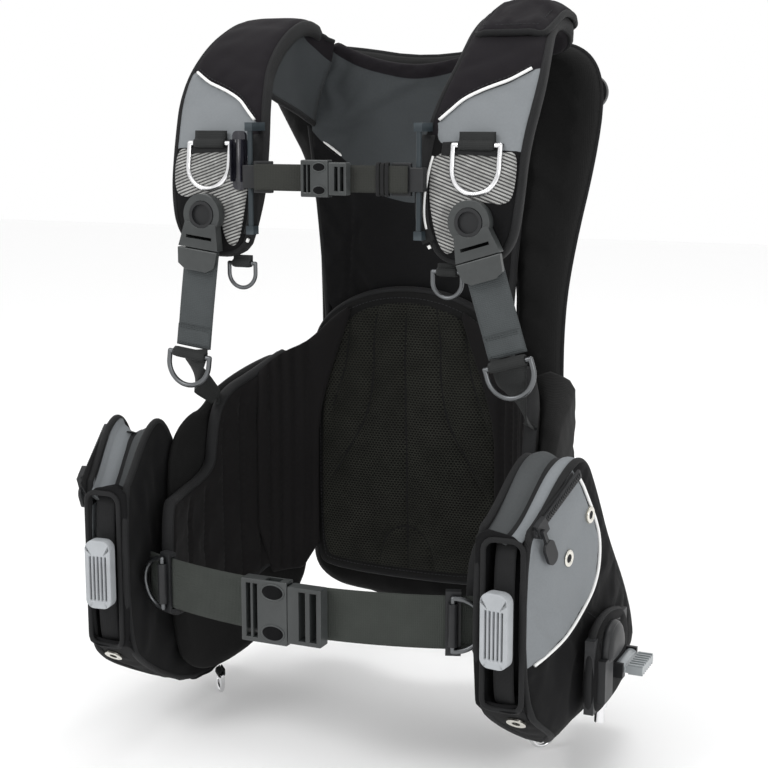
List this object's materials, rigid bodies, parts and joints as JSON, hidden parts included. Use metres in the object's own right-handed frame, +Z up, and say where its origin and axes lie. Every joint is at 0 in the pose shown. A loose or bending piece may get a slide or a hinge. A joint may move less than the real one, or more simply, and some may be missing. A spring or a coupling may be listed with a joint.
{
  "type": "buoyancy compensator vest",
  "caption": "Weight-integrated scuba jacket with a padded back frame, inflatable back cell and side lobes, cargo pockets, shoulder quick-release straps and a clamp band for the cylinder.",
  "frame": {"origin": "on the cylinder's axis, at the mid height of the cylinder band", "axes": "+Z up, towards the collar; -Y forward, the way the wearer faces; +X to the wearer's left"},
  "size_m": [0.5508, 0.5629, 0.729],
  "materials": {
    "black_fabric": "coated nylon, matt",
    "charcoal_fabric": "coated nylon, matt",
    "grey_fabric": "coated nylon, matt",
    "yoke_fabric": "soft laminate, matt",
    "spacer_mesh": "three-dimensional knit",
    "webbing": "woven polyester webbing",
    "black_plastic": "moulded, fine grain",
    "grey_plastic": "moulded, satin",
    "lever_plastic": "moulded, ribbed",
    "frame_plastic": "moulded, coarse grain",
    "steel": "polished stainless steel",
    "gunmetal": "dark satin coating",
    "nickel": "nickel plate"
  },
  "bodies": {
    "root": {"backplate": "frame_plastic", "tank_band": "webbing", "cam_buckle_base": "black_plastic", "back_pad": "spacer_mesh", "wing_pad_left": "black_fabric", "wing_pad_right": "black_fabric", "yoke": "yoke_fabric", "air_cell": "black_fabric", "air_lobe_left": "charcoal_fabric", "air_lobe_right": "charcoal_fabric", "shoulder_pad_left": "grey_fabric", "shoulder_pad_right": "grey_fabric", "chest_rails": "webbing", "pocket_left": "grey_fabric", "pocket_right": "grey_fabric", "zip_chains": "black_plastic", "eyelets": "nickel", "ring_tabs": "webbing", "anchor_straps": "webbing", "swivel_studs": "black_plastic", "waist_belts": "webbing", "waist_socket": "black_plastic", "belt_sliders": "black_plastic", "shoulder_flap": "black_fabric", "exhaust_valves": "black_plastic", "inflator_housing": "black_plastic", "hose_connector": "nickel", "hose_clip": "black_plastic"},
    "cam_lever": {"cam_lever": "black_plastic"},
    "carry_handle": {"carry_handle": "webbing"},
    "chest_bridge": {"chest_sliders": "black_plastic", "chest_strap_right": "webbing", "chest_strap_left": "webbing", "chest_socket": "black_plastic"},
    "chest_plug": {"chest_plug": "black_plastic"},
    "waist_plug": {"waist_plug": "black_plastic"},
    "waist_ring_left": {"waist_ring_left": "gunmetal"},
    "waist_ring_right": {"waist_ring_right": "gunmetal"},
    "swivel_left": {"shoulder_socket_left": "black_plastic", "shoulder_strap_left": "webbing"},
    "swivel_right": {"shoulder_socket_right": "black_plastic", "shoulder_strap_right": "webbing"},
    "shoulder_plug_left": {"shoulder_plug_left": "black_plastic"},
    "shoulder_plug_right": {"shoulder_plug_right": "black_plastic"},
    "chest_ring_left": {"chest_ring_left": "steel"},
    "chest_ring_right": {"chest_ring_right": "steel"},
    "strap_ring_left": {"strap_ring_left": "gunmetal"},
    "strap_ring_right": {"strap_ring_right": "gunmetal"},
    "accessory_ring_left": {"accessory_ring_left": "gunmetal"},
    "accessory_ring_right": {"accessory_ring_right": "gunmetal"},
    "hip_ring_left": {"hip_ring_left": "steel"},
    "hip_ring_right": {"hip_ring_right": "steel"},
    "pouch_left": {"weight_pouch_left": "black_fabric", "pouch_handle_left": "grey_plastic"},
    "pouch_right": {"weight_pouch_right": "black_fabric", "pouch_handle_right": "grey_plastic"},
    "zip_slider_left": {"zip_slider_left": "black_plastic"},
    "zip_slider_right": {"zip_slider_right": "black_plastic"},
    "inflator_lever": {"inflator_lever": "lever_plastic"},
    "valve_knob": {"valve_knob": "black_plastic"}
  },
  "joints": [
    {"name": "cam_lever_hinge", "type": "hinge", "parent": "root", "child": "cam_lever", "pos_m": [-0.07132, 0.08353, 0], "axis": [0, 0, 1], "range_deg": [0, 110]},
    {"name": "carry_handle_hinge", "type": "hinge", "parent": "root", "child": "carry_handle", "pos_m": [0, -0.106, 0.2], "axis": [1, 0, 0], "range_deg": [-85, 0]},
    {"name": "chest_height", "type": "slide", "parent": "root", "child": "chest_bridge", "axis": [0, 0, 1], "range_m": [-0.035, 0.03]},
    {"name": "chest_release", "type": "slide", "parent": "chest_bridge", "child": "chest_plug", "axis": [1, 0, 0], "range_m": [0, 0.018]},
    {"name": "waist_release", "type": "slide", "parent": "root", "child": "waist_plug", "axis": [1, 0, 0], "range_m": [0, 0.026]},
    {"name": "waist_ring_left_hinge", "type": "hinge", "parent": "root", "child": "waist_ring_left", "pos_m": [0.15157, -0.40515, -0.184], "axis": [0, 0, 1], "range_deg": [-100, 0]},
    {"name": "waist_ring_right_hinge", "type": "hinge", "parent": "root", "child": "waist_ring_right", "pos_m": [-0.15157, -0.40515, -0.184], "axis": [0, 0, 1], "range_deg": [0, 100]},
    {"name": "swivel_left_turn", "type": "hinge", "parent": "root", "child": "swivel_left", "pos_m": [0.138, -0.326, 0.17], "axis": [0, 1, 0], "range_deg": [-12, 12]},
    {"name": "shoulder_release_left", "type": "slide", "parent": "swivel_left", "child": "shoulder_plug_left", "axis": [0.2924, 0, -0.9563], "range_m": [0, 0.02]},
    {"name": "chest_ring_left_hinge", "type": "hinge", "parent": "root", "child": "chest_ring_left", "pos_m": [0.138, -0.3215, 0.238], "axis": [1, 0, 0], "range_deg": [-110, 0]},
    {"name": "strap_ring_left_hinge", "type": "hinge", "parent": "root", "child": "strap_ring_left", "pos_m": [0.17659, -0.34, 0.04377], "axis": [0.9563, 0, 0.2924], "range_deg": [-110, 0]},
    {"name": "accessory_ring_left_hinge", "type": "hinge", "parent": "root", "child": "accessory_ring_left", "pos_m": [0.108, -0.315, 0.122], "axis": [1, 0, 0], "range_deg": [-100, 60]},
    {"name": "hip_ring_left_hinge", "type": "hinge", "parent": "root", "child": "hip_ring_left", "pos_m": [0.1845, -0.243, -0.336], "axis": [0.682, 0.7314, 0], "range_deg": [-20, 60]},
    {"name": "pouch_left_pull", "type": "slide", "parent": "root", "child": "pouch_left", "axis": [-0.1305, -0.9914, 0], "range_m": [0, 0.1]},
    {"name": "zip_left_slide", "type": "slide", "parent": "root", "child": "zip_slider_left", "axis": [0.2223, 0.8413, 0.4928], "range_m": [0, 0.055]},
    {"name": "swivel_right_turn", "type": "hinge", "parent": "root", "child": "swivel_right", "pos_m": [-0.138, -0.326, 0.17], "axis": [0, 1, 0], "range_deg": [-2, 12]},
    {"name": "shoulder_release_right", "type": "slide", "parent": "swivel_right", "child": "shoulder_plug_right", "axis": [-0.1219, 0, -0.9925], "range_m": [0, 0.02]},
    {"name": "chest_ring_right_hinge", "type": "hinge", "parent": "root", "child": "chest_ring_right", "pos_m": [-0.138, -0.3215, 0.238], "axis": [1, 0, 0], "range_deg": [-110, 0]},
    {"name": "strap_ring_right_hinge", "type": "hinge", "parent": "root", "child": "strap_ring_right", "pos_m": [-0.15494, -0.34, 0.03204], "axis": [0.9925, 0, -0.1219], "range_deg": [-110, 0]},
    {"name": "accessory_ring_right_hinge", "type": "hinge", "parent": "root", "child": "accessory_ring_right", "pos_m": [-0.108, -0.315, 0.122], "axis": [1, 0, 0], "range_deg": [-100, 60]},
    {"name": "hip_ring_right_hinge", "type": "hinge", "parent": "root", "child": "hip_ring_right", "pos_m": [-0.1845, -0.243, -0.336], "axis": [0.682, -0.7314, 0], "range_deg": [-20, 60]},
    {"name": "pouch_right_pull", "type": "slide", "parent": "root", "child": "pouch_right", "axis": [0.1305, -0.9914, 0], "range_m": [0, 0.1]},
    {"name": "zip_right_slide", "type": "slide", "parent": "root", "child": "zip_slider_right", "axis": [-0.2223, 0.8413, 0.4928], "range_m": [0, 0.055]},
    {"name": "inflator_lever_rock", "type": "hinge", "parent": "root", "child": "inflator_lever", "pos_m": [0.2735, -0.268, -0.246], "axis": [0, 1, 0], "range_deg": [-15, 15], "stiffness_Nm_per_rad": 0.3},
    {"name": "valve_knob_pull", "type": "slide", "parent": "root", "child": "valve_knob", "axis": [0, 1, 0], "range_m": [0, 0.006], "stiffness_N_per_m": 200}
  ]
}
